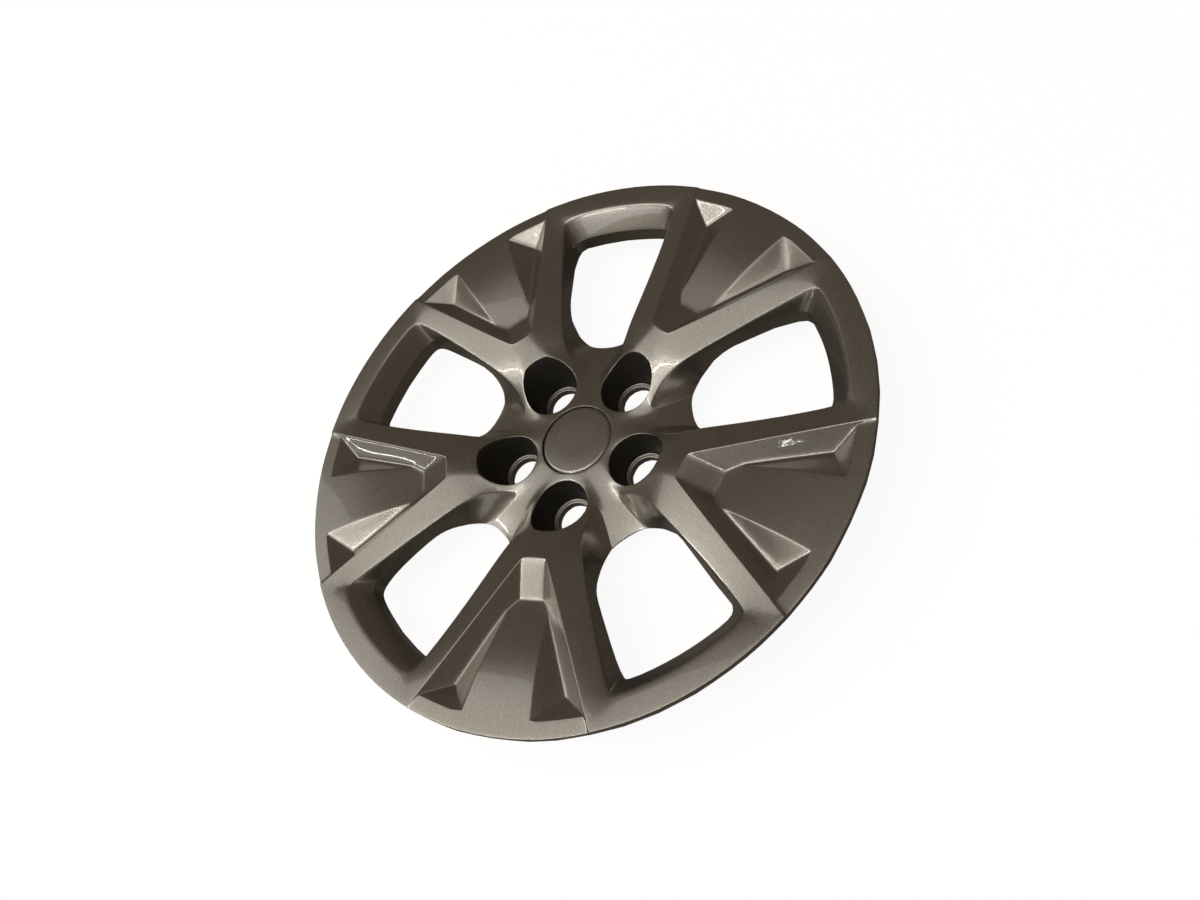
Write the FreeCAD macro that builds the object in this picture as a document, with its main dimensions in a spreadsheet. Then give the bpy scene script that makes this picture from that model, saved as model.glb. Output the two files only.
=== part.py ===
import FreeCAD, Part
import Sketcher
import math
import os

# Moulded wheel cover with five double spokes, its centre cap and the wire ring that holds it on the wheel.
# The cover lies face up: Z is the wheel's axis, and the rear of the nut wells is the plane Z = 0.
# Depths are measured downwards from the front plane of the rim, run along a spoke is measured from the axis.

SIZES = [
    # Rim
    ("outer_radius", 215.0, "outline of the cover"),
    ("front_height", 48.0, "front plane of the rim above the rear of the nut wells"),
    ("wall", 2.6, "wall of the moulding"),
    ("floor", 3.1, "thickness of the spokes' front faces"),
    ("corner_inset", 1.0, "setback of the rim hollow's corners, for an even wall"),
    ("rim_edge", 1.0, "broken front edge of the outline"),
    ("lip_depth", 5.5, "turned-down lip round the outline"),
    ("band_width", 17.6, "flat front of the rim at a window"),
    ("band_fall", 0.8, "fall of that band towards the window"),
    ("bevel_width", 11.4, "bevel from the band into the window"),
    ("bevel_depth", 13.0, "depth of the bevel's lower edge"),
    ("rim_wall_width", 2.0, "draft of the wall below the bevel"),
    ("rim_wall_depth", 25.5, "depth of that wall's rear edge"),
    # Hub and the valleys between the spokes
    ("spoke_count", 5, "double spokes, windows and nut wells"),
    ("hub_radius", 33.0, "flat front of the hub"),
    ("hub_depth", 20.5, "depth of the hub's front"),
    ("hub_floor", 5.5, "thickness of the hub"),
    ("valley_bend_radius", 57.0, "where a valley leaves the hub"),
    ("valley_bend_depth", 24.5, "depth of the valley there"),
    ("valley_end_radius", 84.5, "inner end of a window"),
    ("valley_end_depth", 29.4, "depth of the valley at the window"),
    # Root of a double spoke: run along the spoke, half width and depth of its shoulder edge, then its foot
    ("corner_run", 49.4, "shoulder starts at the valley"),
    ("corner_half", 27.6, "half width there"),
    ("corner_depth", 24.6, "depth there"),
    ("waist_run", 64.0, "narrowest place"),
    ("waist_half", 23.6, "half width there"),
    ("waist_depth", 18.2, "depth there"),
    ("waist_foot_half", 35.3, "half width of the foot there"),
    ("waist_foot_depth", 26.6, "depth of the foot there"),
    ("neck_run", 75.0, "beside the window's inner end"),
    ("neck_half", 24.9, "half width there"),
    ("neck_depth", 13.7, "depth there"),
    ("neck_foot_half", 40.6, "half width of the foot there"),
    ("bend_run", 87.0, "legs begin to spread"),
    ("bend_half", 28.9, "half width there"),
    ("bend_depth", 9.7, "depth there"),
    ("bend_foot_half", 37.2, "half width of the foot there"),
    ("bend_foot_depth", 27.4, "depth of the foot there"),
    # Legs of a double spoke and the pocket between them
    ("apex_run", 97.6, "front edge of the pocket's inner wall"),
    ("apex_half", 9.3, "half width of that edge"),
    ("apex_depth", 1.9, "depth of that edge"),
    ("pocket_angle", 28.3, "slant of a leg's pocket edge to the spoke"),
    ("leg_angle", 24.9, "slant of a leg's window edge"),
    ("leg_depth", 8.8, "depth of the window edge at the apex"),
    ("leg_end_depth", 1.2, "depth of the window edge at the outline"),
    ("leg_foot_draft", 2.6, "draft of a leg's window wall at the apex"),
    ("leg_foot_end_draft", 4.6, "draft of that wall at the outline"),
    ("leg_foot_depth", 25.0, "depth of that wall's foot at the apex"),
    ("leg_foot_end_depth", 18.5, "depth of that wall's foot at the outline"),
    ("pocket_wall_run", 1.3, "sideways run of a pocket wall for each unit of depth"),
    ("tongue_foot_run", 123.3, "foot of the pocket's inner wall"),
    ("tongue_foot_depth", 12.3, "depth of that foot"),
    ("tongue_flat", 39.0, "level part of the tongue, inwards from the outline"),
    ("tongue_step", 1.2, "tongue below the legs at the outline"),
    ("groove_tip_run", 131.0, "inner tip of the groove beside the tongue"),
    ("groove_end", 31.0, "deep end of the groove, inwards from the outline"),
    ("groove_depth", 11.6, "depth of the groove at that end"),
    ("groove_margin", 10.5, "rim left outside the groove"),
    ("groove_proud", 3.0, "reach of the groove's cut past its front edges, as a ratio"),
    ("tongue_corner_angle", 7.0, "outer corner of the tongue, from the spoke"),
    # Nut wells
    ("nut_circle_radius", 52.5, "circle of the nut wells"),
    ("well_floor_radius", 15.9, "floor of a well"),
    ("well_floor_depth", 42.0, "depth of that floor"),
    ("well_draft", 11.0, "draft of a well"),
    ("nut_hole_radius", 12.5, "hole for the wheel nut"),
    # Retention legs and wire ring
    ("clip_angle", 8.0, "retention legs each side of a window's middle"),
    ("clip_inset", 19.0, "inner face of a retention leg, inwards from the outline"),
    ("clip_thickness", 3.0, "its thickness"),
    ("clip_width", 16.0, "its width"),
    ("clip_tip_depth", 35.0, "depth of its tip"),
    ("barb", 2.4, "barb on its outer face"),
    ("wire_radius", 1.6, "half the wire's diameter"),
    ("wire_sides", 6, "flats that stand for the round wire"),
    ("wire_depth", 26.5, "depth of the wire's middle"),
    ("wire_clearance", 0.2, "wire to retention leg"),
    ("wire_gap", 12.0, "gap between the ring's ends"),
    # Centre cap
    ("cap_radius", 27.3, "outline of the cap"),
    ("cap_clearance", 0.4, "cap to its recess"),
    ("cap_thickness", 3.0, "cap at its edge"),
    ("cap_edge", 1.6, "chamfer round the cap"),
    ("recess_depth", 2.5, "recess in the hub"),
]

doc = FreeCAD.newDocument("wheel_cover")
sheet = doc.addObject("Spreadsheet::Sheet", "sizes")
for row, (alias, value, note) in enumerate(SIZES, start=1):
    sheet.set(f"A{row}", note)
    sheet.set(f"B{row}", str(value))
    sheet.setAlias(f"B{row}", alias)
doc.recompute()


def size(alias):
    return float(sheet.get(alias))


def level(depth):
    """Height of a point that lies so far below the rim's front plane."""
    return size("front_height") - depth


def turn_step():
    return 360.0 / size("spoke_count")


def all_round(shape):
    """Copies of a shape, one on each spoke."""
    copies = []
    for spoke in range(int(size("spoke_count"))):
        copy = shape.copy()
        copy.rotate(FreeCAD.Vector(0, 0, 0), FreeCAD.Vector(0, 0, 1), spoke * turn_step())
        copies.append(copy)
    return copies


def feature(label, shape):
    made = doc.addObject("Part::Feature", label)
    made.Shape = shape
    made.Label = label
    return made


def origin(body, role):
    """One of the body's own planes or axes."""
    for datum in body.Origin.OriginFeatures:
        if datum.Role == role:
            return datum
    raise ValueError(role)


def profile(body, name, corners):
    """Closed outline on the body's XZ plane; each corner is a pair of expressions, radius and height."""
    sketch = body.newObject("Sketcher::SketchObject", name)
    sketch.AttachmentSupport = (origin(body, "XZ_Plane"), [""])
    sketch.MapMode = "FlatFace"
    spots = []
    for across, up in corners:
        spots.append(FreeCAD.Vector(evaluate(across), evaluate(up), 0))
    count = len(spots)
    for index in range(count):
        sketch.addGeometry(Part.LineSegment(spots[index], spots[(index + 1) % count]))
    for index in range(count):
        sketch.addConstraint(Sketcher.Constraint("Coincident", index, 2, (index + 1) % count, 1))
    for index, (across, up) in enumerate(corners):
        for kind, text, value in (("DistanceX", across, spots[index].x), ("DistanceY", up, spots[index].y)):
            number = sketch.addConstraint(Sketcher.Constraint(kind, -1, 1, index, 1, value))
            sketch.setExpression(f"Constraints[{number}]", text)
    return sketch


def evaluate(text):
    value = sheet.evalExpression(text.replace("sizes.", ""))
    return float(value)


def at(depth):
    """Expression for the height of a depth."""
    return f"sizes.front_height - ({depth})"


def turned(label, corners, angle="360"):
    """Body turned about Z from an outline."""
    body = doc.addObject("PartDesign::Body", label)
    sketch = profile(body, label + "_outline", corners)
    turn = body.newObject("PartDesign::Revolution", label + "_turn")
    turn.Profile = sketch
    turn.ReferenceAxis = (sketch, ["V_Axis"])
    turn.setExpression("Angle", angle)
    body.Tip = turn
    return body


def joined(label, parts):
    fuse = doc.addObject("Part::MultiFuse", label)
    fuse.Shapes = parts
    return fuse


def cut(label, base, tool):
    made = doc.addObject("Part::Cut", label)
    made.Base = base
    made.Tool = tool
    return made


# Rim: a band, a bevel into the windows and a short wall below it. The hollow leaves one wall all round.
WINDOW = "sizes.outer_radius - sizes.band_width"
BEVEL_FOOT = f"{WINDOW} - sizes.bevel_width"
RIM_FOOT = f"{BEVEL_FOOT} - sizes.rim_wall_width"
rim_blank = turned("rim_blank", [
    ("sizes.outer_radius", at("sizes.rim_edge")),
    ("sizes.outer_radius - sizes.rim_edge", at("0")),
    (WINDOW, at("sizes.band_fall")),
    (BEVEL_FOOT, at("sizes.bevel_depth")),
    (RIM_FOOT, at("sizes.rim_wall_depth")),
    ("sizes.outer_radius - sizes.wall", at("sizes.rim_wall_depth")),
    ("sizes.outer_radius - sizes.wall", at("sizes.lip_depth")),
    ("sizes.outer_radius", at("sizes.lip_depth")),
])
rim_hollow = turned("rim_hollow", [
    ("sizes.outer_radius - sizes.wall", at("sizes.wall")),
    (f"{WINDOW} + sizes.corner_inset", at("sizes.band_fall + sizes.wall")),
    (f"{BEVEL_FOOT} + sizes.wall", at("sizes.bevel_depth + sizes.corner_inset")),
    (f"{RIM_FOOT} + sizes.wall", at("sizes.rim_wall_depth + sizes.wall")),
    ("sizes.outer_radius - sizes.wall", at("sizes.rim_wall_depth + sizes.wall")),
])

# Hub and valleys: one dished plate from the axis to the inner ends of the windows.
hub_blank = turned("hub_blank", [
    ("0", at("sizes.hub_depth")),
    ("sizes.hub_radius", at("sizes.hub_depth")),
    ("sizes.valley_bend_radius", at("sizes.valley_bend_depth")),
    ("sizes.valley_end_radius", at("sizes.valley_end_depth")),
    ("sizes.valley_end_radius", at("sizes.valley_end_depth + sizes.wall")),
    ("sizes.valley_bend_radius", at("sizes.valley_bend_depth + sizes.wall")),
    ("sizes.hub_radius", at("sizes.hub_depth + sizes.hub_floor")),
    ("0", at("sizes.hub_depth + sizes.hub_floor")),
])
doc.recompute()

# Double spoke: sections across it carry a crest in the middle, a shoulder edge beside each window and the
# foot of the window wall. The root is smooth from the hub to the apex, and the legs run straight from there.
APEX = size("apex_run")
END = size("outer_radius")
HALF_SECTOR = math.radians(turn_step() / 2)


def along(run, start, finish):
    """Value at a run between the apex and the outline."""
    return start + (finish - start) * (run - APEX) / (END - APEX)


def crest_depth(run):
    slope = (size("hub_depth") - size("apex_depth")) / (APEX - size("hub_radius"))
    return size("apex_depth") + slope * (APEX - run)


def pocket_edge(run):
    return size("apex_half") + math.tan(math.radians(size("pocket_angle"))) * (run - APEX)


def pocket_edge_depth(run):
    return along(run, size("apex_depth"), 0.0)


def leg_edge(run):
    return size("bend_half") + math.tan(math.radians(size("leg_angle"))) * (run - size("bend_run"))


def section(run, crest, shoulder, foot, inset=0.0, drop=0.0, below=0.0):
    """Six-cornered wire across the spoke; each place is a half width and a depth. A hollow is set in by the
    wall at its shoulder and foot, dropped by the floor's thickness and opened below its foot."""
    places = [
        (foot[0] - inset, foot[1] + below),
        (shoulder[0] - inset, shoulder[1] + drop),
        (crest[0], crest[1] + drop),
    ]
    near = [FreeCAD.Vector(run, half, level(depth)) for half, depth in places]
    far = [FreeCAD.Vector(run, -half, level(depth)) for half, depth in reversed(places)]
    return Part.makePolygon(near + far + near[:1])


def spoke_sections(inset, drop, below):
    """Sections of the root from the waist to the apex, and of the legs from the apex to the outline."""
    root = []
    for name, foot_depth in (("waist", size("waist_foot_depth")),
                             ("neck", size("valley_end_depth")),
                             ("bend", size("bend_foot_depth"))):
        run = size(name + "_run")
        crest = (size("apex_half"), crest_depth(run))
        shoulder = (size(name + "_half"), size(name + "_depth"))
        foot = (size(name + "_foot_half"), foot_depth)
        root.append(section(run, crest, shoulder, foot, inset, drop, below))
    legs = []
    for run in (APEX, END):
        crest = (pocket_edge(run), pocket_edge_depth(run))
        shoulder = (leg_edge(run), along(run, size("leg_depth"), size("leg_end_depth")))
        draft = along(run, size("leg_foot_draft"), size("leg_foot_end_draft"))
        foot = (leg_edge(run) + draft, along(run, size("leg_foot_depth"), size("leg_foot_end_depth")))
        legs.append(section(run, crest, shoulder, foot, inset, drop, below))
    return root, legs


def hub_sections():
    """Sections of the root inside the hub's plate and at the corner where the shoulder leaves the valley."""
    sunk = size("wall") / 2
    run = size("cap_radius")
    half = run * math.tan(HALF_SECTOR) - size("wall")
    top = size("hub_depth") + sunk
    inner = section(run, (size("apex_half"), top), (half, top), (half, top + sunk))
    run = size("corner_run")
    crest = (size("apex_half"), crest_depth(run))
    shoulder = (size("corner_half"), size("corner_depth"))
    foot = (size("corner_half"), size("corner_depth") + sunk)
    return [inner, section(run, crest, shoulder, foot)]


reach = Part.makeCylinder(size("outer_radius") - size("wall"), 2 * size("front_height"))
root, legs = spoke_sections(0.0, 0.0, 0.0)
hub_link = Part.makeLoft(hub_sections(), True, True)
spoke_root = Part.makeLoft(hub_sections()[1:] + root + legs[:1], True, True)
spoke_legs = Part.makeLoft(legs, True, True)
spoke = hub_link.multiFuse([spoke_root, spoke_legs]).common(reach)
spoke_blank = feature("spoke_blank", Part.makeCompound(all_round(spoke)))

root, legs = spoke_sections(size("wall"), size("floor"), size("front_height") - size("rim_wall_depth"))
hollow_root = Part.makeLoft(root + legs[:1], True, True)
hollow_legs = Part.makeLoft(legs, True, True)
hollow = hollow_root.fuse(hollow_legs).common(reach)
spoke_hollow = feature("spoke_hollow", Part.makeCompound(all_round(hollow)))


# Pocket between the legs: an inner wall down to the tongue, the tongue rising to the rim, and beside it two
# three-sided grooves that run out towards the rim.
def pocket_wall(run, depth):
    return pocket_edge(run) - size("pocket_wall_run") * (depth - pocket_edge_depth(run))


def pocket_section(run, depth):
    """Four corners across the pocket, from its floor to well above the legs."""
    above = -size("tongue_foot_depth")
    low, high = pocket_wall(run, depth), pocket_wall(run, above)
    return [
        FreeCAD.Vector(run, -low, level(depth)),
        FreeCAD.Vector(run, low, level(depth)),
        FreeCAD.Vector(run, high, level(above)),
        FreeCAD.Vector(run, -high, level(above)),
    ]


def polyhedron(rings):
    """Solid of flat faces between rings of corners; a ring of one corner is a point."""
    loops = [ring for ring in (rings[0], rings[-1]) if len(ring) > 1]
    for start, end in zip(rings, rings[1:]):
        for here in range(len(end)):
            there = (here + 1) % len(end)
            side = [start[here % len(start)], end[here], end[there], start[there % len(start)]]
            loops.append(side if len(start) > 1 else side[:3])
    faces = [Part.Face(Part.makePolygon(loop + loop[:1])) for loop in loops]
    solid = Part.makeSolid(Part.makeShell(faces))
    if solid.Volume < 0:
        solid.reverse()
    return solid


def tongue_depth(run):
    rise_run = tongue_end - size("tongue_foot_run")
    rise = size("tongue_foot_depth") - size("tongue_step")
    return size("tongue_foot_depth") - rise * (run - size("tongue_foot_run")) / rise_run


def on_pocket_wall(run, depth):
    return FreeCAD.Vector(run, pocket_wall(run, depth), level(depth))


def wall_run(radius, depth):
    """Run at which the pocket's wall crosses a radius, at one depth."""
    offset = pocket_wall(0.0, depth)
    slope = pocket_wall(1.0, depth) - offset
    spread = 1 + slope ** 2
    return (math.sqrt(spread * radius ** 2 - offset ** 2) - slope * offset) / spread


def groove():
    """Wedge on the left: from its tip in the pocket's corner to its deep end at the rim. The tongue's side
    of it has two flats, which meet where the tongue's rise ends."""
    step = size("tongue_step")
    tip = on_pocket_wall(size("groove_tip_run"), tongue_depth(size("groove_tip_run")))
    deep = on_pocket_wall(size("outer_radius") - size("groove_end"), size("groove_depth"))
    radius = size("outer_radius") - size("groove_margin")
    angle = math.radians(size("tongue_corner_angle"))
    corner = FreeCAD.Vector(radius * math.cos(angle), radius * math.sin(angle), level(step))
    part_way = (tongue_end - tip.x) / (corner.x - tip.x)
    bend = FreeCAD.Vector(tongue_end, tip.y + (corner.y - tip.y) * part_way, level(step))
    leg = on_pocket_wall(wall_run(radius, step), step)
    bend, corner, leg = [deep + (front - deep) * size("groove_proud") for front in (bend, corner, leg)]
    inner = polyhedron([[tip], [deep, bend, leg]])
    outer = polyhedron([[corner], [deep, bend, leg]])
    return inner.fuse(outer)


tongue_end = size("outer_radius") - size("tongue_flat")
pocket = polyhedron([
    pocket_section(APEX, size("apex_depth")),
    pocket_section(size("tongue_foot_run"), size("tongue_foot_depth")),
    pocket_section(tongue_end, size("tongue_step")),
    pocket_section(END + size("wall"), size("tongue_step")),
])
left_groove = groove()
right_groove = left_groove.mirror(FreeCAD.Vector(0, 0, 0), FreeCAD.Vector(0, 1, 0))
pocket = pocket.multiFuse([left_groove, right_groove])
pockets = feature("pockets", Part.makeCompound(all_round(pocket)))
pocket_floors = feature("pocket_floors", Part.makeCompound(all_round(pocket)))
pocket_floors.Placement = FreeCAD.Placement(FreeCAD.Vector(0, 0, -size("floor")), FreeCAD.Rotation())

# Nut wells: tapered cups that reach back to the wheel, each with a hole for its nut.
WELL_RADIUS = "sizes.well_floor_radius"
WELL_TOP = f"{WELL_RADIUS} + sizes.well_floor_depth * tan(sizes.well_draft)"
WELL_REAR = f"{WELL_RADIUS} - (sizes.front_height - sizes.well_floor_depth) * tan(sizes.well_draft)"


def on_nut_circle(label, corners):
    """Body turned about a nut well's own axis, repeated on each spoke."""
    body = doc.addObject("PartDesign::Body", label)
    sketch = profile(body, label + "_outline", [(f"sizes.nut_circle_radius + {x}", z) for x, z in corners])
    axis = sketch.addGeometry(Part.LineSegment(
        FreeCAD.Vector(size("nut_circle_radius"), 0, 0),
        FreeCAD.Vector(size("nut_circle_radius"), size("front_height"), 0)))
    sketch.toggleConstruction(axis)
    sketch.addConstraint(Sketcher.Constraint("Vertical", axis))
    sketch.addConstraint(Sketcher.Constraint("PointOnObject", axis, 1, -1))
    across = sketch.addConstraint(Sketcher.Constraint("DistanceX", -1, 1, axis, 1, size("nut_circle_radius")))
    sketch.setExpression(f"Constraints[{across}]", "sizes.nut_circle_radius")
    tall = sketch.addConstraint(Sketcher.Constraint("DistanceY", axis, 1, axis, 2, size("front_height")))
    sketch.setExpression(f"Constraints[{tall}]", "sizes.front_height")
    turn = body.newObject("PartDesign::Revolution", label + "_turn")
    turn.Profile = sketch
    turn.ReferenceAxis = (sketch, ["Axis0"])
    turn.Angle = 360
    return repeated(body, [turn], "sizes.spoke_count")


def repeated(body, features, count):
    """Body's features repeated evenly round the wheel's axis."""
    pattern = body.newObject("PartDesign::PolarPattern", body.Label + "_pattern")
    pattern.Originals = features
    pattern.Axis = (origin(body, "Z_Axis"), [""])
    pattern.Angle = 360
    pattern.setExpression("Occurrences", count)
    body.Tip = pattern
    return body


WELL_SEAM = "sizes.hub_depth + sizes.hub_floor"
WELL_SEAM_RADIUS = f"{WELL_RADIUS} + (sizes.well_floor_depth - ({WELL_SEAM})) * tan(sizes.well_draft)"
well_cups = on_nut_circle("well_cups", [
    ("0", at(WELL_SEAM)),
    (f"{WELL_SEAM_RADIUS} + sizes.wall", at(WELL_SEAM)),
    (f"{WELL_REAR} + sizes.wall", "0"),
    ("0", "0"),
])
well_keep = on_nut_circle("well_keep", [
    ("0", at("0")),
    (f"{WELL_TOP} + sizes.wall", at("0")),
    (f"{WELL_REAR} + sizes.wall", "0"),
    ("0", "0"),
])
well_bores = on_nut_circle("well_bores", [
    ("0", at("0")),
    (WELL_TOP, at("0")),
    (WELL_RADIUS, at("sizes.well_floor_depth")),
    ("sizes.nut_hole_radius", at("sizes.well_floor_depth")),
    ("sizes.nut_hole_radius", "-sizes.wall"),
    ("0", "-sizes.wall"),
])

# Retention legs: flat fingers under the rim, two behind each window, with a barb outside and a hook inside
# that carries the wire ring.
CLIP_IN = "sizes.outer_radius - sizes.clip_inset"
CLIP_OUT = f"{CLIP_IN} + sizes.clip_thickness"
HOOK = "sizes.wire_depth + sizes.wire_radius + sizes.wire_clearance"
HOOK_IN = f"{CLIP_IN} - 2 * sizes.wire_radius"


def inside_rim(radius):
    """Depth in the middle of the rim's wall at a radius, on its band or on its bevel."""
    fall = "(sizes.bevel_depth - sizes.band_fall) / sizes.bevel_width"
    return f"sizes.band_fall + sizes.wall / 2 + max(0; {WINDOW} - ({radius})) * {fall}"


CLIP_OUTLINE = [
    (CLIP_IN, at(inside_rim(CLIP_IN))),
    (CLIP_OUT, at(inside_rim(CLIP_OUT))),
    (CLIP_OUT, at("sizes.clip_tip_depth - 2 * sizes.barb")),
    (f"{CLIP_OUT} + sizes.barb", at("sizes.clip_tip_depth - sizes.barb")),
    (CLIP_OUT, at("sizes.clip_tip_depth")),
    (CLIP_IN, at("sizes.clip_tip_depth")),
    (HOOK_IN, at(f"{HOOK} + sizes.wire_radius")),
    (HOOK_IN, at(HOOK)),
    (CLIP_IN, at(HOOK)),
]


def clips(label, turn):
    """Retention legs on one side of every window's middle."""
    body = doc.addObject("PartDesign::Body", label)
    pad = body.newObject("PartDesign::Pad", label + "_pad")
    pad.Profile = profile(body, label + "_outline", CLIP_OUTLINE)
    pad.setExpression("Length", "sizes.clip_width")
    pad.Midplane = True
    body.Placement.Rotation = FreeCAD.Rotation(FreeCAD.Vector(0, 0, 1), evaluate(turn))
    body.setExpression("Placement.Rotation.Angle", turn)
    return repeated(body, [pad], "sizes.spoke_count")


WINDOW_MIDDLE = "180 / sizes.spoke_count"
left_clips = clips("left_clips", f"{WINDOW_MIDDLE} + sizes.clip_angle")
right_clips = clips("right_clips", f"{WINDOW_MIDDLE} - sizes.clip_angle")
doc.recompute()

shell_blank = joined("shell_blank", [rim_blank, hub_blank, spoke_blank])
shell_pocketed = cut("shell_pocketed", shell_blank, pockets)
shell_outside = joined("shell_outside", [shell_pocketed, well_cups])
hollow_blank = joined("hollow_blank", [rim_hollow, spoke_hollow])
hollow_pocketed = cut("hollow_pocketed", hollow_blank, pocket_floors)
shell_hollow = cut("shell_hollow", hollow_pocketed, well_keep)
shell_skin = cut("shell_skin", shell_outside, shell_hollow)
shell_bored = cut("shell_bored", shell_skin, well_bores)

# Centre cap: a plain disc bonded in the hub's recess.
CAP_SEAT = at("sizes.hub_depth + sizes.recess_depth")
cap_recess = turned("cap_recess", [
    ("0", at("0")),
    ("sizes.cap_radius + sizes.cap_clearance", at("0")),
    ("sizes.cap_radius + sizes.cap_clearance", CAP_SEAT),
    ("0", CAP_SEAT),
])
shell_seated = cut("shell_seated", shell_bored, cap_recess)
cover_shell = joined("cover_shell", [shell_seated, left_clips, right_clips])

centre_cap = turned("centre_cap", [
    ("0", CAP_SEAT),
    ("sizes.cap_radius", CAP_SEAT),
    ("sizes.cap_radius", f"{CAP_SEAT} + sizes.cap_thickness - sizes.cap_edge"),
    ("sizes.cap_radius - sizes.cap_edge", f"{CAP_SEAT} + sizes.cap_thickness"),
    ("0", f"{CAP_SEAT} + sizes.cap_thickness"),
])

# Wire ring: sprung steel inside the retention legs, open at one place.
WIRE_CIRCLE = f"{CLIP_IN} - sizes.wire_clearance - sizes.wire_radius"
wire_outline = []
for side in range(int(size("wire_sides"))):
    lean = f"{side} * 360 deg / sizes.wire_sides"
    wire_outline.append((f"{WIRE_CIRCLE} + sizes.wire_radius * cos({lean})",
                         at(f"sizes.wire_depth - sizes.wire_radius * sin({lean})")))
RING_TURN = f"360 * (1 - sizes.wire_gap / (2 * pi * ({WIRE_CIRCLE})))"
retaining_ring = turned("retaining_ring", wire_outline, RING_TURN)
doc.recompute()

for made in doc.Objects:
    if "Invalid" in made.State or "Error" in made.State:
        raise RuntimeError(f"{made.Label} failed")
os.makedirs("parts", exist_ok=True)
for node in (cover_shell, centre_cap, retaining_ring):
    if node.Shape.isNull() or not node.Shape.isValid():
        raise RuntimeError(f"{node.Label} is not a sound solid")
    node.Shape.exportStep(f"parts/{node.Label}.step")
    print(node.Label, len(node.Shape.Solids), round(node.Shape.Volume))
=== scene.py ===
import bpy
import bmesh
import math
from mathutils import Matrix, Vector


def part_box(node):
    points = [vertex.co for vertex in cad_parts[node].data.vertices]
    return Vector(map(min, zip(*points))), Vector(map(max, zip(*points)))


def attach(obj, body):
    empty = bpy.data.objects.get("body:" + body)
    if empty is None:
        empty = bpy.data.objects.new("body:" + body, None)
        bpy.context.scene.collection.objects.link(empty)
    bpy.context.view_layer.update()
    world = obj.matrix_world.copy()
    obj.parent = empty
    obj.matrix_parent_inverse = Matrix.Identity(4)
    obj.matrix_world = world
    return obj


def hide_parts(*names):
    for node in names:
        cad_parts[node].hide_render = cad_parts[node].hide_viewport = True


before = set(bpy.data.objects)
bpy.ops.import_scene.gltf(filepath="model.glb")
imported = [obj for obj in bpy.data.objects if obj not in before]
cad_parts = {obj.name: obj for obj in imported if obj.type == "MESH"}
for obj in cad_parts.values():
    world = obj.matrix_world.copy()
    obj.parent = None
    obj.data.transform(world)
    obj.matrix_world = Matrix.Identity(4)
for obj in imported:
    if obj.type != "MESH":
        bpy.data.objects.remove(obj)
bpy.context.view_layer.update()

# The cover: one ABS injection moulding with five double spokes between a rim and a hub, painted on its face.
# Half a spoke's skin is laid out from its corners, mirrored, and turned round the axis on to all the spokes.
# Runs go along a spoke from the axis, widths across it, and depths down from the rim's front, in millimetres.
MM = 0.001
SPOKES = 5
HALF_TURN = 180 / SPOKES
RIM_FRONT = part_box("cover_shell")[1].z / MM
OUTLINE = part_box("cover_shell")[1].x / MM
# What smoothing the skin takes off the outline's radius
SMOOTHED = 0.35
HUB_DEPTH = 19.8
CAP_GROOVE = 27.7


def spot(run, across, depth):
    """Place from its run along a spoke, its width across it and its depth."""
    return Vector((run, across, RIM_FRONT - depth)) * MM


def on_circle(radius, angle, depth):
    """Place on a circle round the axis, turned by an angle from the spoke's middle."""
    turn = math.radians(angle)
    return spot(radius * math.cos(turn), radius * math.sin(turn), depth)


def by_window(along, aside, depth):
    """Place along the window's middle line from the axis, and aside from that line towards the spoke."""
    turn = math.radians(HALF_TURN)
    run = along * math.cos(turn) + aside * math.sin(turn)
    across = along * math.sin(turn) - aside * math.cos(turn)
    return spot(run, across, depth)


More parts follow.
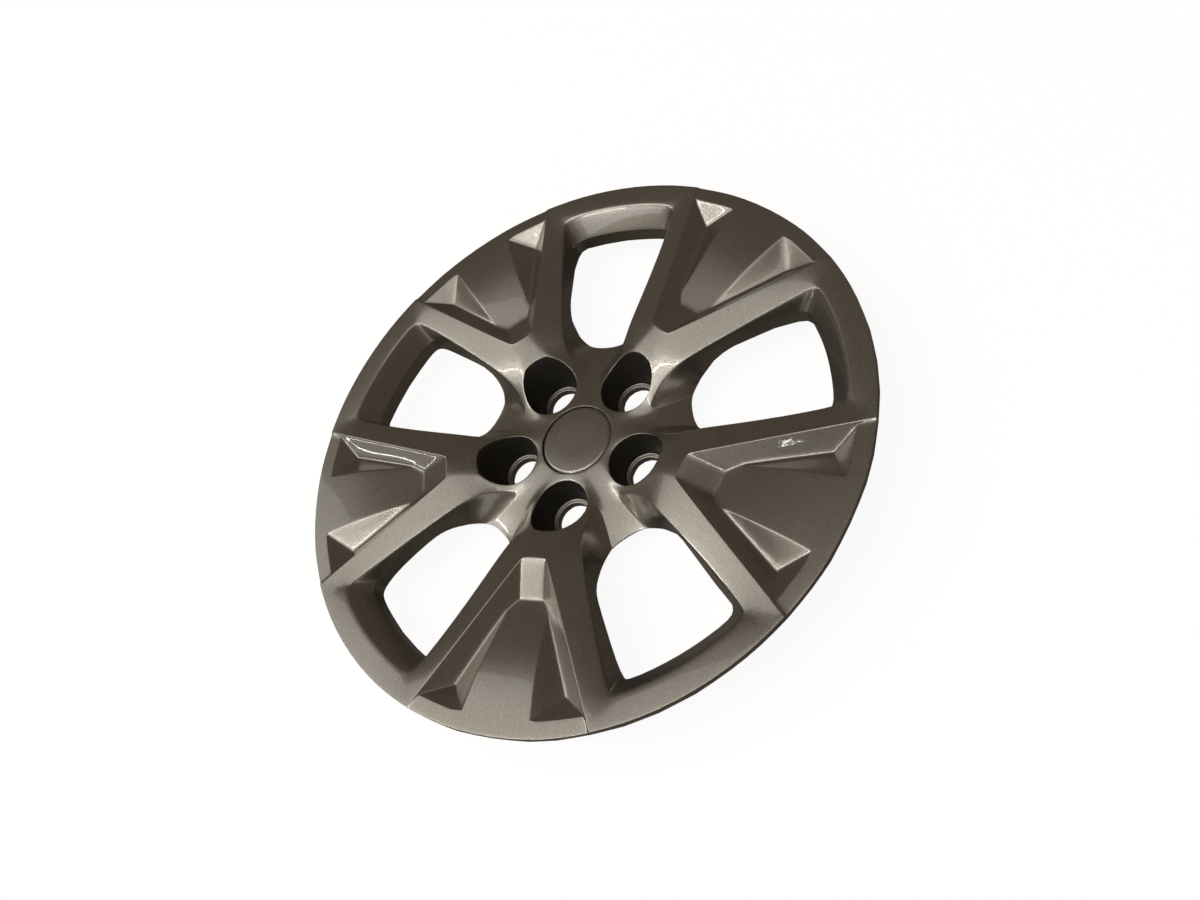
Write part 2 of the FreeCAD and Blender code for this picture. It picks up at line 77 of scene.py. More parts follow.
cover_corners = {
    # Hub round the cap's recess
    "hub_a": on_circle(CAP_GROOVE, 0, HUB_DEPTH),
    "hub_b": on_circle(CAP_GROOVE, 9, HUB_DEPTH),
    "hub_c": on_circle(CAP_GROOVE, 18, HUB_DEPTH),
    "hub_d": on_circle(CAP_GROOVE, 27, HUB_DEPTH),
    "hub_e": on_circle(CAP_GROOVE, HALF_TURN, HUB_DEPTH),
    "hub_side": on_circle(38, 28.5, 21.0),
    "hub_mid": on_circle(38, HALF_TURN, 21.1),
    "fall_side": on_circle(48, 30.4, 22.7),
    "fall_mid": on_circle(48, HALF_TURN, 22.9),
    # Mouth of the nut well, from the hub round to the spoke's crest
    "mouth_a": spot(31.8, 0, 20.7),
    "mouth_b": spot(33.5, 7.9, 20.6),
    "mouth_c": spot(37.8, 14.7, 20.5),
    "mouth_d": spot(44.6, 19.1, 20.4),
    "mouth_e": spot(52.5, 20.8, 20.0),
    "mouth_f": spot(60.8, 19.9, 17.0),
    "mouth_g": spot(68.8, 16.5, 12.7),
    "mouth_h": spot(74.4, 9.5, 8.8),
    "mouth_i": spot(76.4, 0, 8.0),
    # Valley between two spokes, down to the window's inner end
    "valley_root": spot(49.4, 27.6, 24.6),
    "valley_side": spot(62.0, 34.2, 26.4),
    "valley_end": by_window(87.3, 13.2, 31.2),
    "valley_a": on_circle(57.0, HALF_TURN, 24.5),
    "valley_b": on_circle(71.0, HALF_TURN, 26.5),
    "valley_c": by_window(85.2, 0, 31.3),
    "turn_b": by_window(85.4, 7.0, 31.3),
    # Shoulder: the spoke's edge beside the window, out to the window's outer corner
    "edge_a": spot(56.0, 25.3, 21.0),
    "edge_b": spot(64.0, 23.5, 18.2),
    "edge_c": spot(75.0, 24.6, 13.9),
    "edge_d": spot(87.0, 28.9, 9.7),
    "edge_e": spot(97.6, 33.2, 8.5),
    "edge_f": spot(130.0, 47.3, 7.3),
    "edge_g": spot(160.0, 61.4, 5.4),
    "edge_h": spot(178.3, 71.0, 3.7),
    "edge_i": spot(180.9, 74.3, 2.2),
    "edge_j": spot(181.1, 78.5, 1.1),
    "edge_k": on_circle(197.4, 29.5, 0.8),
    "edge_l": on_circle(197.4, HALF_TURN, 0.8),
    # Middle and foot of the window's wall below that edge
    "wall_b": spot(63.5, 28.2, 23.4),
    "wall_c": spot(75.5, 30.5, 22.8),
    "wall_d": spot(88.0, 31.5, 20.0),
    "wall_e": spot(100.5, 35.4, 16.0),
    "wall_f": spot(126.0, 46.8, 13.4),
    "wall_g": spot(154.0, 61.0, 12.4),
    "wall_h": spot(164.4, 67.4, 16.0),
    "wall_i": spot(167.8, 71.9, 16.0),
    "wall_j": spot(168.2, 76.9, 16.0),
    "wall_k": on_circle(184.7, 30, 16.0),
    "wall_l": on_circle(184.7, HALF_TURN, 16.0),
    "turn_c": by_window(91.0, 18.8, 30.9),
    "foot_d": by_window(96.0, 24.0, 29.7),
    "turn_d": by_window(101.2, 28.0, 28.0),
    "foot_e": by_window(108.5, 31.6, 25.1),
    "turn_e": by_window(117.0, 33.6, 22.0),
    "foot_f": by_window(125.1, 34.3, 20.2),
    "foot_g": spot(147.9, 60.4, 20.7),
    "foot_h": spot(162.4, 67.6, 25.9),
    "foot_i": spot(166.8, 72.3, 26.9),
    "foot_j": spot(167.2, 77.4, 27.2),
    "foot_k": on_circle(184.1, 30, 27.2),
    "foot_l": on_circle(184.1, HALF_TURN, 27.2),
    # Crest of the spoke and the pocket's front edge along the leg
    "crest_mid": spot(84.0, 0, 5.8),
    "crest": spot(83.0, 9.3, 6.1),
    "crest_side": spot(77.0, 17.0, 10.4),
    "apex_mid": spot(97.6, 0, 1.9),
    "apex": spot(97.6, 9.3, 1.9),
    "leg_a": spot(131.0, 27.3, 1.4),
    "leg_b": spot(157.5, 41.6, 0.9),
    "leg_c": spot(184.0, 55.8, 0.5),
    "leg_d": spot(195.4, 62.0, 0.3),
    "leg_fold": spot(192.5, 70.6, 1.0),
    # Pocket: its inner wall, the tongue and the groove beside the tongue
    "pocket_mid": spot(123.3, 0, 12.3),
    "pocket": spot(123.3, 9.1, 12.3),
    "tip_mid": spot(131.0, 0, 10.7),
    "tip": spot(131.0, 15.2, 10.7),
    "rise_mid": spot(153.5, 0, 5.6),
    "rise": spot(153.5, 18.2, 5.6),
    "flat_mid": spot(176.0, 0, 1.5),
    "flat": spot(176.0, 21.3, 1.5),
    "tongue_mid": spot(204.0, 0, 1.2),
    "tongue": spot(202.8, 24.9, 1.2),
    "groove": spot(157.5, 28.3, 11.2),
    "groove_end": spot(184.0, 41.4, 11.6),
    "band_mid": on_circle(204.0, 12, 1.2),
    "band_end": spot(195.2, 60.1, 1.2),
    # Outline
    "out_a": on_circle(OUTLINE + SMOOTHED, 0, 1.2),
    "out_b": on_circle(OUTLINE + SMOOTHED, 7, 1.2),
    "out_c": on_circle(OUTLINE + SMOOTHED, 12, 1.2),
    "out_d": on_circle(OUTLINE, 17.65, 1.2),
    "out_e": on_circle(OUTLINE, 18.15, 0.1),
    "out_f": on_circle(OUTLINE + SMOOTHED, 23.5, 0.0),
    "out_g": on_circle(OUTLINE + SMOOTHED, 29.5, 0.0),
    "out_h": on_circle(OUTLINE + SMOOTHED, HALF_TURN, 0.0),
}
cover_panels = [
    "hub_a hub_b mouth_b mouth_a",
    "hub_b hub_c mouth_c mouth_b",
    "hub_c hub_d hub_side mouth_c",
    "hub_d hub_e hub_mid hub_side",
    "mouth_c hub_side fall_side mouth_d",
    "hub_side hub_mid fall_mid fall_side",
    "mouth_d fall_side valley_root mouth_e",
    "fall_side fall_mid valley_a valley_root",
    "mouth_e valley_root edge_a mouth_f",
    "mouth_f edge_a edge_b mouth_g",
    "mouth_g edge_b edge_c crest_side",
    "mouth_h mouth_g crest_side crest",
    "mouth_i mouth_h crest crest_mid",
    "crest crest_side edge_c edge_d",
    "crest_mid crest apex apex_mid",
    "crest edge_d edge_e apex",
    "valley_root valley_side valley_b valley_a",
    "valley_side valley_end turn_b valley_c valley_b",
    "valley_root wall_b valley_side",
    "valley_root edge_a edge_b wall_b",
    "edge_b edge_c wall_c wall_b",
    "wall_b wall_c valley_end valley_side",
    "edge_c edge_d wall_d wall_c",
    "wall_c wall_d foot_d turn_c valley_end",
    "edge_d edge_e wall_e wall_d",
    "wall_d wall_e foot_e turn_d foot_d",
    "edge_e edge_f wall_f wall_e",
    "wall_e wall_f foot_f turn_e foot_e",
    "edge_f edge_g wall_g wall_f",
    "wall_f wall_g foot_g foot_f",
    "edge_g edge_h wall_h wall_g",
    "wall_g wall_h foot_h foot_g",
    "edge_h edge_i wall_i wall_h",
    "wall_h wall_i foot_i foot_h",
    "edge_i edge_j wall_j wall_i",
    "wall_i wall_j foot_j foot_i",
    "edge_j edge_k wall_k wall_j",
    "wall_j wall_k foot_k foot_j",
    "edge_k edge_l wall_l wall_k",
    "wall_k wall_l foot_l foot_k",
    "apex edge_e edge_f leg_a",
    "leg_a edge_f edge_g leg_b",
    "leg_b edge_g edge_h leg_c",
    "leg_c edge_h edge_i leg_fold",
    "leg_c leg_fold out_e leg_d",
    "leg_fold edge_i edge_j",
    "leg_fold edge_j out_f out_e",
    "edge_j edge_k out_g out_f",
    "edge_k edge_l out_h out_g",
    "apex_mid apex pocket pocket_mid",
    "apex leg_a tip pocket",
    "leg_a leg_b groove tip",
    "leg_b leg_c groove_end groove",
    "leg_c leg_d band_end groove_end",
    "leg_d out_e out_d band_end",
    "pocket_mid pocket tip tip_mid",
    "tip_mid tip rise rise_mid",
    "rise_mid rise flat flat_mid",
    "flat_mid flat tongue tongue_mid",
    "tip groove rise",
    "rise groove groove_end flat",
    "flat groove_end tongue",
    "tongue groove_end band_end band_mid",
    "tongue_mid tongue out_b out_a",
    "tongue band_mid out_c out_b",
    "band_mid band_end out_d out_c",
]
cover = bmesh.new()
rounding = cover.edges.layers.float.new("bevel_weight_edge")
crease = cover.edges.layers.float.new("crease_edge")
corner = {name: cover.verts.new(place) for name, place in cover_corners.items()}
for names in cover_panels:
    cover.faces.new([corner[name] for name in names.split()])


def chain(names):
    """Edges between corners that follow one another."""
    row = [corner[name] for name in names.split()]
    return [cover.edges.get(pair) for pair in zip(row, row[1:])]


def down_to(edges, rule):
    """Extrudes edges, moves each new corner by the rule, and returns the new edges and faces."""
    made = bmesh.ops.extrude_edge_only(cover, edges=edges)["geom"]
    rim = {part for part in made if isinstance(part, bmesh.types.BMVert)}
    for vert in rim:
        vert.co = rule(vert.co)
    far = [part for part in made if isinstance(part, bmesh.types.BMEdge) and set(part.verts) <= rim]
    return far, [part for part in made if isinstance(part, bmesh.types.BMFace)]


OUTLINE_CHAIN = "out_a out_b out_c out_d out_e out_f out_g out_h"
GROOVE_RING = "hub_a hub_b hub_c hub_d hub_e"
MOUTH = "mouth_a mouth_b mouth_c mouth_d mouth_e mouth_f mouth_g mouth_h mouth_i"
WINDOW_END = "valley_c turn_b valley_end turn_c foot_d turn_d foot_e turn_e foot_f"
WINDOW_SIDE = "foot_f foot_g foot_h foot_i foot_j foot_k foot_l"
ROUND_WIDTH = 4.0
# Rounding of each row of edges, in millimetres
for names, width in (
    (OUTLINE_CHAIN, 0.6),
    (GROOVE_RING, 0.4),
    (MOUTH, 0.9),
    (WINDOW_END, 0.4),
    (WINDOW_SIDE, 0.4),
    ("valley_root edge_a edge_b edge_c edge_d", 0.6),
    ("edge_d edge_e edge_f edge_g edge_h edge_i", 0.8),
    ("edge_i edge_j edge_k edge_l", 2.4),
    ("wall_h wall_i wall_j wall_k wall_l", 0.6),
    ("valley_root valley_side valley_end", 0.35),
    ("apex_mid apex", 1.4),
    ("apex leg_a leg_b leg_c leg_d out_e", 0.5),
    ("apex pocket tip", 1.5),
    ("tip groove groove_end", 3.0),
    ("pocket_mid pocket", 1.5),
    ("tip rise flat tongue band_mid band_end", 0.7),
    ("tongue groove_end band_end", 1.5),
    ("band_end out_d", 0.4),
):
    for edge in chain(names):
        edge[rounding] = width / ROUND_WIDTH
# Soft folds, and how firmly each is held
for names, hold in (
    ("mouth_h crest apex", 0.5),
    ("edge_i leg_fold out_e", 0.55),
):
    for edge in chain(names):
        edge[crease] = hold

# Turned-down lip round the outline, and the recess for the cap
LIP_DEPTH = 5.5
RECESS_DEPTH = 23.0


def straight_down(depth):
    """Rule for down_to: a corner keeps its place in plan and goes down to this depth."""
    return lambda at: Vector((at.x, at.y, (RIM_FRONT - depth) * MM))


down_to(chain(OUTLINE_CHAIN), straight_down(LIP_DEPTH))
recess_edge, _ = down_to(chain(GROOVE_RING), straight_down(RECESS_DEPTH))
down_to(recess_edge, lambda at: Vector((0, 0, at.z)))

# Nut wells: tapered bores that the paint hardly reaches, each with a ring floor round the hole for its nut.
# Each ring has its radius and depth, and says whether the wall above it is bare of paint and dark with
# painted shade.
NUT_CIRCLE = 52.5
WELL_RINGS = (
    (17.6, 33.0, True),
    (15.9, 42.0, True),
    (12.5, 42.0, False),
    (12.5, 48.0, False),
)
# Makes up for the smoothing, which draws these rings in
RING_GROWN = 1.026
RING_ROUND = 0.8
PAINT_SLOT = 0
WELL_SLOT = 1


def round_nut(radius, depth):
    """Rule for down_to: a corner goes straight towards the nut's axis to a circle at this depth."""
    def place(at):
        lean = math.atan2(at.y, at.x - NUT_CIRCLE * MM)
        return spot(NUT_CIRCLE + radius * math.cos(lean), radius * math.sin(lean), depth)
    return place


well_edges = chain(MOUTH)
for radius, depth, bare_and_shaded in WELL_RINGS:
    well_edges, well_faces = down_to(well_edges, round_nut(radius * RING_GROWN, depth))
    # Bare walls take the wells' black, which also stands in for the shade deep in each bore
    for face in well_faces:
        face.material_index = WELL_SLOT if bare_and_shaded else PAINT_SLOT
    for edge in well_edges:
        edge[rounding] = RING_ROUND / ROUND_WIDTH

# Corners of neighbouring panels nearer than this are one
SEAM = 0.02


def everything(shape):
    """All of a shape's corners, edges and faces."""
    return shape.verts[:] + shape.edges[:] + shape.faces[:]


def all_round(shape):
    """Copies what is on one spoke on to the others."""
    bmesh.ops.spin(shape, geom=everything(shape), cent=(0, 0, 0), axis=(0, 0, 1), steps=SPOKES - 1,
                   angle=math.radians(360 - 360 / SPOKES), use_duplicate=True)


def finished(name, shape):
    """Object at the origin with the mesh of a worked-up shape."""
    mesh = bpy.data.meshes.new(name)
    shape.to_mesh(mesh)
    shape.free()
    piece = bpy.data.objects.new(name, mesh)
    bpy.context.scene.collection.objects.link(piece)
    return piece


bmesh.ops.remove_doubles(cover, verts=cover.verts, dist=SEAM * MM)
bmesh.ops.mirror(cover, geom=everything(cover), matrix=Matrix.Identity(4), merge_dist=SEAM * MM, axis='Y')
all_round(cover)
bmesh.ops.remove_doubles(cover, verts=cover.verts, dist=SEAM * MM)
bmesh.ops.recalc_face_normals(cover, faces=cover.faces)
for face in cover.faces:
    face.smooth = True
painted_cover = finished("painted_cover", cover)

# Wall of the moulding behind that skin, its rounded edges and its smooth faces. The wall's back takes the
# slot two past its front's, and its rim keeps the front's.
WALL = 2.6
WALL_CREASE = 0.9
BACK_OFFSET = 2
RIM_OFFSET = 0
shell = painted_cover.modifiers.new("shell_wall", 'SOLIDIFY')
shell.thickness = WALL * MM
shell.offset = -1
shell.use_even_offset = True
shell.material_offset = BACK_OFFSET
shell.material_offset_rim = RIM_OFFSET
shell.edge_crease_inner = WALL_CREASE
shell.edge_crease_outer = WALL_CREASE
shell.edge_crease_rim = WALL_CREASE
moulded_edges = painted_cover.modifiers.new("moulded_edges", 'BEVEL')
moulded_edges.limit_method = 'WEIGHT'
moulded_edges.width = ROUND_WIDTH * MM
moulded_edges.segments = 2
moulded_edges.profile = 0.5
moulded_edges.use_clamp_overlap = False
moulded_edges.material = -1
smooth_skin = painted_cover.modifiers.new("smooth_skin", 'SUBSURF')
smooth_skin.levels = 1
smooth_skin.render_levels = 1
flat_faces = painted_cover.modifiers.new("flat_faces", 'WEIGHTED_NORMAL')
flat_faces.mode = 'FACE_AREA'
flat_faces.keep_sharp = False


def material(name):
    """New node material, with its tree and its shader."""
    made = bpy.data.materials.new(name)
    made.use_nodes = True
    return made, made.node_tree, made.node_tree.nodes["Principled BSDF"]


def pattern(tree, kind, scale):
    """Texture node of a kind that lies on the piece's own coordinates."""
    made = tree.nodes.new(kind)
    made.inputs["Scale"].default_value = scale
    place = tree.nodes.new("ShaderNodeTexCoord")
    tree.links.new(place.outputs["Object"], made.inputs["Vector"])
    return made


def shade(tree, share, dark, light, socket):
    """Colours a socket between a dark and a light tone."""
    tones = tree.nodes.new("ShaderNodeValToRGB")
    tones.color_ramp.elements[0].color = dark
    tones.color_ramp.elements[1].color = light
    tree.links.new(share, tones.inputs["Fac"])
    tree.links.new(tones.outputs["Color"], socket)


def spread(tree, share, low, high, socket):
    """Varies a socket between two values."""
    span = tree.nodes.new("ShaderNodeMapRange")
    span.inputs["To Min"].default_value = low
    span.inputs["To Max"].default_value = high
    tree.links.new(share, span.inputs["Value"])
    tree.links.new(span.outputs["Result"], socket)


def relief(tree, height, strength, rise, socket):
    """Fine relief on a socket for normals; its rise is in millimetres."""
    bump = tree.nodes.new("ShaderNodeBump")
    bump.inputs["Strength"].default_value = strength
    bump.inputs["Distance"].default_value = rise * MM
    tree.links.new(height, bump.inputs["Height"])
    tree.links.new(bump.outputs["Normal"], socket)


# Bronze-grey metallic paint under clear lacquer: fine flakes that differ in shade and lie at slightly
# different angles, a faint cloudiness from the spray gun, and the lacquer's slight ripple.
FLAKE_SCALE = 1900
FLAKE_DARK = (0.235, 0.212, 0.176, 1)
FLAKE_LIGHT = (0.375, 0.348, 0.299, 1)
FLAKE_TILT = 0.05
FLAKE_RISE = 0.2
CLOUD_SCALE = 38
CLOUD_DETAIL = 4
CLOUD_GLOSSY = 0.26
CLOUD_DULL = 0.32
RIPPLE_SCALE = 300
RIPPLE_DETAIL = 1
RIPPLE_TILT = 0.05
RIPPLE_RISE = 0.15
paint, tree, shader = material("bronze_metallic_paint")
flakes = pattern(tree, "ShaderNodeTexVoronoi", FLAKE_SCALE)
shade(tree, flakes.outputs["Color"], FLAKE_DARK, FLAKE_LIGHT, shader.inputs["Base Color"])
relief(tree, flakes.outputs["Distance"], FLAKE_TILT, FLAKE_RISE, shader.inputs["Normal"])
clouds = pattern(tree, "ShaderNodeTexNoise", CLOUD_SCALE)
clouds.inputs["Detail"].default_value = CLOUD_DETAIL
spread(tree, clouds.outputs["Fac"], CLOUD_GLOSSY, CLOUD_DULL, shader.inputs["Roughness"])
ripple = pattern(tree, "ShaderNodeTexNoise", RIPPLE_SCALE)
ripple.inputs["Detail"].default_value = RIPPLE_DETAIL
relief(tree, ripple.outputs["Fac"], RIPPLE_TILT, RIPPLE_RISE, shader.inputs["Coat Normal"])
shader.inputs["Metallic"].default_value = 0.9
shader.inputs["Coat Weight"].default_value = 1.0
shader.inputs["Coat Roughness"].default_value = 0.025

# Inside of the nut wells: bare black plastic with a little overspray, its darkness also painted shade deep in
# the bores
OVERSPRAY_SCALE = 420
OVERSPRAY_DETAIL = 3
WELL_DARK = (0.022, 0.020, 0.016, 1)
WELL_LIGHT = (0.044, 0.040, 0.033, 1)
well_black, tree, shader = material("well_bare_plastic_and_painted_shade")
overspray = pattern(tree, "ShaderNodeTexNoise", OVERSPRAY_SCALE)
overspray.inputs["Detail"].default_value = OVERSPRAY_DETAIL
shade(tree, overspray.outputs["Fac"], WELL_DARK, WELL_LIGHT, shader.inputs["Base Color"])
shader.inputs["Roughness"].default_value = 0.32

# Back of the moulding: unpainted black ABS with the fine spark-eroded grain of its mould
GRAIN_SCALE = 1500
GRAIN_DETAIL = 2
GRAIN_DARK = (0.016, 0.016, 0.017, 1)
GRAIN_LIGHT = (0.034, 0.034, 0.035, 1)
GRAIN_TILT = 0.2
GRAIN_RISE = 0.2
back_black, tree, shader = material("back_black_plastic")
grain = pattern(tree, "ShaderNodeTexNoise", GRAIN_SCALE)
grain.inputs["Detail"].default_value = GRAIN_DETAIL
shade(tree, grain.outputs["Fac"], GRAIN_DARK, GRAIN_LIGHT, shader.inputs["Base Color"])
relief(tree, grain.outputs["Fac"], GRAIN_TILT, GRAIN_RISE, shader.inputs["Normal"])
shader.inputs["Roughness"].default_value = 0.5

# Slots in their order: the two fronts, then the black plastic behind each of them
for finish in (paint, well_black, back_black, back_black):
    painted_cover.data.materials.append(finish)
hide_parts("cover_shell")
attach(painted_cover, "root")

# Retention legs: barbed fingers of the same moulding behind the rim, two behind each window, that snap into
# the wheel. A hook on the inside of each carries the wire ring.
LEG_INSIDE = 196.0
LEG_THICK = 3.0
LEG_WIDTH = 16.0
LEG_ANGLE = 8.0
LEG_ROOT_INSIDE = 3.4
LEG_ROOT_OUTSIDE = 2.1
LEG_TIP = 35.0
LEG_ROUND = 0.35
BARB = 2.4
WIRE_THICK = 3.2
WIRE_DEPTH = 26.5
WIRE_PLAY = 0.2
HOOK_DEPTH = WIRE_DEPTH + WIRE_THICK / 2 + WIRE_PLAY
leg_outline = (
    (LEG_INSIDE, LEG_ROOT_INSIDE),
    (LEG_INSIDE + LEG_THICK, LEG_ROOT_OUTSIDE),
    (LEG_INSIDE + LEG_THICK, LEG_TIP - 2 * BARB),
    (LEG_INSIDE + LEG_THICK + BARB, LEG_TIP - BARB),
    (LEG_INSIDE + LEG_THICK, LEG_TIP),
    (LEG_INSIDE, LEG_TIP),
    (LEG_INSIDE - WIRE_THICK, HOOK_DEPTH + WIRE_THICK / 2),
    (LEG_INSIDE - WIRE_THICK, HOOK_DEPTH),
    (LEG_INSIDE, HOOK_DEPTH),
)
legs = bmesh.new()
side_face = legs.faces.new([legs.verts.new(spot(run, -LEG_WIDTH / 2, depth)) for run, depth in leg_outline])
grown = bmesh.ops.extrude_face_region(legs, geom=[side_face])["geom"]
bmesh.ops.translate(legs, vec=(0, LEG_WIDTH * MM, 0),
                    verts=[part for part in grown if isinstance(part, bmesh.types.BMVert)])
bmesh.ops.bevel(legs, geom=legs.edges[:], offset=LEG_ROUND * MM, segments=2, profile=0.5, affect='EDGES',
                material=-1)
bmesh.ops.rotate(legs, verts=legs.verts, cent=(0, 0, 0),
                 matrix=Matrix.Rotation(math.radians(HALF_TURN + LEG_ANGLE), 3, 'Z'))
bmesh.ops.spin(legs, geom=everything(legs), cent=(0, 0, 0), axis=(0, 0, 1), steps=1,
               angle=math.radians(-2 * LEG_ANGLE), use_duplicate=True)
all_round(legs)
bmesh.ops.recalc_face_normals(legs, faces=legs.faces)
retention_legs = finished("retention_legs", legs)
retention_legs.data.materials.append(back_black)
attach(retention_legs, "root")

# Wire ring: bright drawn spring steel, bent round inside the legs' hooks and left open at one place.
# It is sprung into the hooks and presses the legs outwards.
WIRE_CIRCLE = LEG_INSIDE - WIRE_PLAY - WIRE_THICK / 2
WIRE_GAP = 12.0
WIRE_SIDES = 14
WIRE_STEPS = 180
DRAWN_SCALE = 900
DRAWN_DARK = (0.40, 0.40, 0.39, 1)
DRAWN_LIGHT = (0.58, 0.58, 0.57, 1)
DRAWN_GLOSSY = 0.22
DRAWN_DULL = 0.42
wire = bmesh.new()
bmesh.ops.create_circle(wire, cap_ends=True, segments=WIRE_SIDES, radius=WIRE_THICK / 2 * MM,
                        matrix=Matrix.Translation(spot(WIRE_CIRCLE, 0, WIRE_DEPTH))
                        @ Matrix.Rotation(math.pi / 2, 4, 'X'))
bmesh.ops.spin(wire, geom=wire.faces[:], cent=(0, 0, 0), axis=(0, 0, 1), steps=WIRE_STEPS,
               angle=2 * math.pi - WIRE_GAP / WIRE_CIRCLE)
bmesh.ops.remove_doubles(wire, verts=wire.verts, dist=SEAM * MM)
bmesh.ops.recalc_face_normals(wire, faces=wire.faces)
for face in wire.faces:
    face.smooth = len(face.verts) < WIRE_SIDES
wire_ring = finished("wire_ring", wire)
spring_steel, tree, shader = material("drawn_spring_steel")
drawing = pattern(tree, "ShaderNodeTexNoise", DRAWN_SCALE)
shade(tree, drawing.outputs["Fac"], DRAWN_DARK, DRAWN_LIGHT, shader.inputs["Base Color"])
spread(tree, drawing.outputs["Fac"], DRAWN_GLOSSY, DRAWN_DULL, shader.inputs["Roughness"])
shader.inputs["Metallic"].default_value = 1.0
wire_ring.data.materials.append(spring_steel)
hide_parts("retaining_ring")
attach(wire_ring, "root")

# Centre cap: a plain round disc with a rolled edge, moulded in the same plastic as the cover and painted with
# it. It is bonded to the floor of the hub's recess.
CAP_RADIUS = 27.3
CAP_TOP = 20.0
CAP_STEPS = 96
CAP_SHARP = 40
cap_profile = (
    (0, CAP_TOP),
    (12.0, CAP_TOP),
    (24.6, CAP_TOP),
    (25.3, CAP_TOP + 0.08),
    (26.1, CAP_TOP + 0.45),
    (26.9, CAP_TOP + 1.15),
    (CAP_RADIUS, CAP_TOP + 1.9),
    (CAP_RADIUS, RECESS_DEPTH),
    (0, RECESS_DEPTH),
)
cap = bmesh.new()
cap_rim = [cap.verts.new(spot(run, 0, depth)) for run, depth in cap_profile]
cap_lines = [cap.edges.new(pair) for pair in zip(cap_rim, cap_rim[1:])]
bmesh.ops.spin(cap, geom=cap_rim + cap_lines, cent=(0, 0, 0), axis=(0, 0, 1), steps=CAP_STEPS,
               angle=2 * math.pi, use_merge=True)
bmesh.ops.remove_doubles(cap, verts=cap.verts, dist=SEAM * MM)
bmesh.ops.recalc_face_normals(cap, faces=cap.faces)
for face in cap.faces:
    face.smooth = True
cap_disc = finished("cap_disc", cap)
cap_disc.data.set_sharp_from_angle(angle=math.radians(CAP_SHARP))
cap_disc.data.materials.append(paint)
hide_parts("centre_cap")
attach(cap_disc, "root")

# Floor: a wide plain sheet of matt paper that the cover lies on. The camera sees it white, while the paint
# mirrors little of that white and mostly the sheet's own dark warm tone.
FLOOR_HALF = 6.0
FLOOR_TONE = (0.16, 0.135, 0.11, 1)
FLOOR_WHITE = (1, 1, 1, 1)
FLOOR_SEEN = 0.93
FLOOR_MIRRORED = 0.02
floor = bmesh.new()
bmesh.ops.create_grid(floor, x_segments=1, y_segments=1, size=FLOOR_HALF)
pale_floor = finished("floor", floor)
floor_paper, tree, shader = material("pale_floor")
shader.inputs["Base Color"].default_value = FLOOR_TONE
shader.inputs["Roughness"].default_value = 0.9
shader.inputs["Specular IOR Level"].default_value = 0.0
shader.inputs["Emission Color"].default_value = FLOOR_WHITE
rays = tree.nodes.new("ShaderNodeLightPath")
mirrored = tree.nodes.new("ShaderNodeMath")
mirrored.operation = 'MULTIPLY'
mirrored.inputs[1].default_value = FLOOR_MIRRORED
direct = tree.nodes.new("ShaderNodeMath")
direct.operation = 'MAXIMUM'
lift = tree.nodes.new("ShaderNodeMath")
lift.operation = 'MULTIPLY_ADD'
lift.inputs[1].default_value = FLOOR_SEEN
tree.links.new(rays.outputs["Is Glossy Ray"], mirrored.inputs[0])
tree.links.new(rays.outputs["Is Camera Ray"], direct.inputs[0])
tree.links.new(rays.outputs["Is Transmission Ray"], direct.inputs[1])
tree.links.new(direct.outputs["Value"], lift.inputs[0])
tree.links.new(mirrored.outputs["Value"], lift.inputs[2])
tree.links.new(lift.outputs["Value"], shader.inputs["Emission Strength"])
pale_floor.data.materials.append(floor_paper)

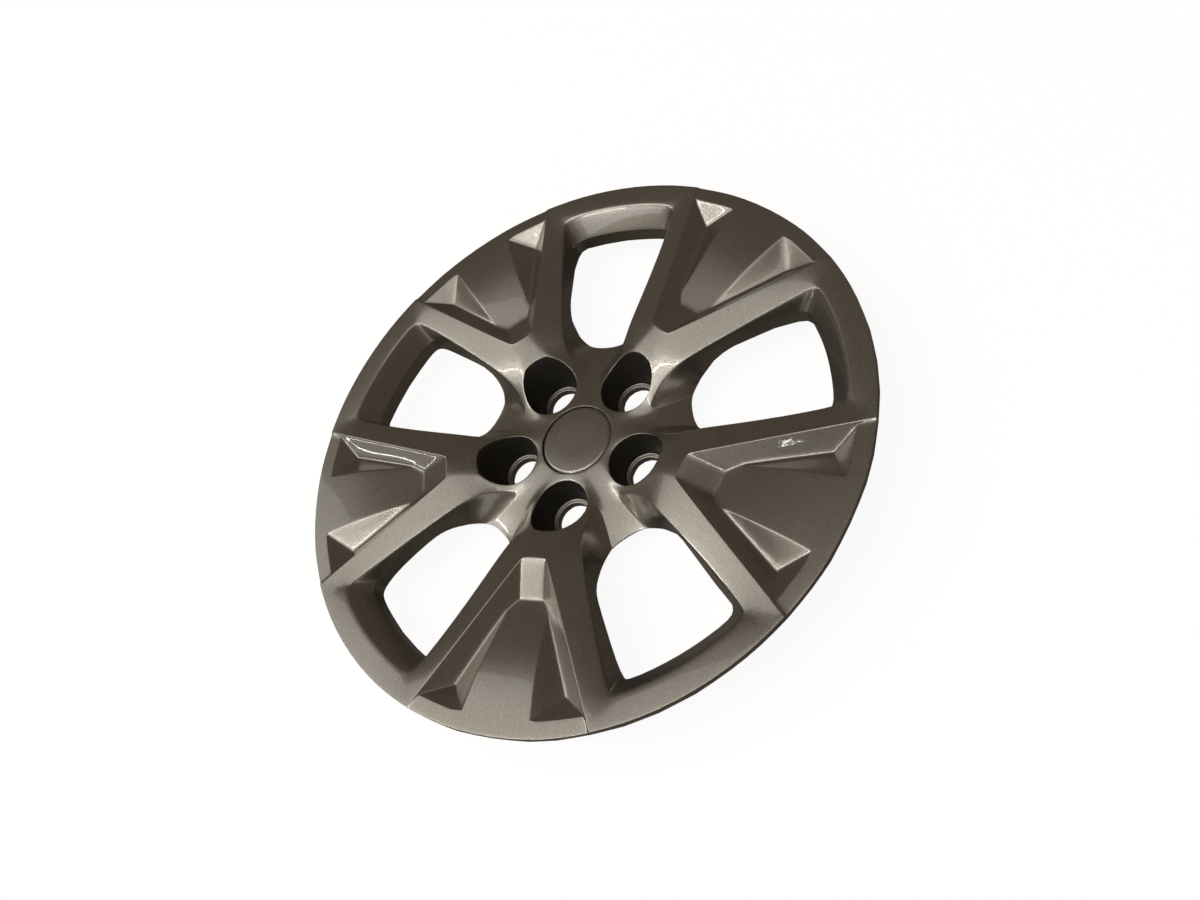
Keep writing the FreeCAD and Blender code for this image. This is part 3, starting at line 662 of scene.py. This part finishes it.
# Light: wide panels under a high ceiling with a bright tube between them, small tubes at the side and a low
# panel in front. Each lamp has its name, turn, place along its own sides and height, width and length in
# metres, radiance, and tilt: it shines straight down, or ahead where it stands upright.
PANEL_TURN = 23
TUBE_TURN = 30
FRONT_TURN = -30
DOWN = 0
UPRIGHT = 90
for name, turn, place, (width, length), radiance, tilt in (
    ("bright_ceiling_panel", PANEL_TURN, (-2.74, 3.95, 6.2), (2.65, 11.5), 1.28, DOWN),
    ("dim_ceiling_panel", PANEL_TURN, (-0.05, 3.95, 6.2), (2.7, 11.5), 0.9, DOWN),
    ("ceiling_tube", PANEL_TURN, (-2.3, 3.4, 6.0), (0.12, 10.4), 22.0, DOWN),
    ("side_panel", PANEL_TURN, (-8.4, 3.4, 6.2), (4.0, 6.0), 1.8, DOWN),
    ("near_side_tube", TUBE_TURN, (-1.79, -0.185, 1.45), (0.03, 0.06), 20.0, DOWN),
    ("middle_side_tube", TUBE_TURN, (-1.25, 0.66, 1.45), (0.06, 0.4), 24.0, DOWN),
    ("far_side_tube", TUBE_TURN, (-2.2, 2.9, 1.45), (0.05, 0.8), 22.0, DOWN),
    ("front_panel", FRONT_TURN, (0, -1.9, 0.6), (1.8, 1.0), 0.5, UPRIGHT),
):
    lamp = bpy.data.lights.new(name, 'AREA')
    lamp.shape = 'RECTANGLE'
    lamp.size = width
    lamp.size_y = length
    lamp.energy = radiance * math.pi * width * length
    holder = bpy.data.objects.new(name, lamp)
    bpy.context.scene.collection.objects.link(holder)
    holder.rotation_euler = (math.radians(tilt), 0, math.radians(turn))
    holder.location = Matrix.Rotation(math.radians(turn), 3, 'Z') @ Vector(place)

# Room: dim warm walls, which light the cover from all round and are what its paint mirrors, and a white
# backdrop that the camera alone sees.
WALLS_TONE = (1.0, 0.8, 0.6, 1)
WALLS_GLOW = 0.125
BACKDROP_WHITE = (1, 1, 1, 1)
room = bpy.data.worlds.new("dim_room")
bpy.context.scene.world = room
room.use_nodes = True
tree = room.node_tree
walls = tree.nodes["Background"]
walls.inputs["Color"].default_value = WALLS_TONE
walls.inputs["Strength"].default_value = WALLS_GLOW
backdrop = tree.nodes.new("ShaderNodeBackground")
backdrop.inputs["Color"].default_value = BACKDROP_WHITE
rays = tree.nodes.new("ShaderNodeLightPath")
seen = tree.nodes.new("ShaderNodeMixShader")
tree.links.new(rays.outputs["Is Camera Ray"], seen.inputs["Fac"])
tree.links.new(walls.outputs["Background"], seen.inputs[1])
tree.links.new(backdrop.outputs["Background"], seen.inputs[2])
tree.links.new(seen.outputs["Shader"], tree.nodes["World Output"].inputs["Surface"])

# Camera: the photograph's own view from above the cover's face, with the place, turn and focal length that
# were fitted to the cover's circles.
SENSOR_WIDTH = 36
FOCAL_LENGTH = 28.543
CAMERA_PLACE = (-0.03693, -0.43181, 0.55662)
CAMERA_TURN = (30.0076, 24.3540, -41.4194)
lens = bpy.data.cameras.new("camera")
lens.sensor_width = SENSOR_WIDTH
lens.lens = FOCAL_LENGTH
camera = bpy.data.objects.new("camera", lens)
bpy.context.scene.collection.objects.link(camera)
camera.location = CAMERA_PLACE
camera.rotation_euler = [math.radians(angle) for angle in CAMERA_TURN]
bpy.context.scene.camera = camera
bpy.context.scene.view_settings.view_transform = 'Standard'
